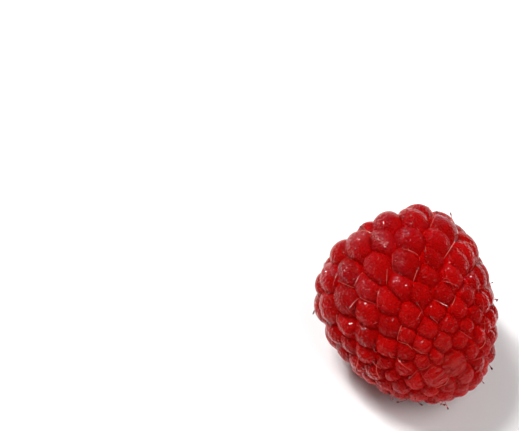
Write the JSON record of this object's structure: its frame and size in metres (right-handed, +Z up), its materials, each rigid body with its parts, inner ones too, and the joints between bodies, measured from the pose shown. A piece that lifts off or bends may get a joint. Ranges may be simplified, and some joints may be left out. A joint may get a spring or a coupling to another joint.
{
  "type": "raspberry",
  "caption": "Ripe raspberry as picked, lying on its side: a blunt cone of swollen drupelets grown together round the open hollow that its core left.",
  "frame": {"origin": "under the middle of the berry, on the surface that it lies on", "axes": "+Z up; the tip points towards -Y and slightly down, the open mouth of the hollow faces +Y and slightly up"},
  "size_m": [0.023, 0.0256, 0.0228],
  "materials": {
    "skin": "moist, translucent red fruit skin, glossy on the drupelets and matt with down in the creases"
  },
  "bodies": {
    "root": {"raspberry": "skin"}
  },
  "joints": []
}
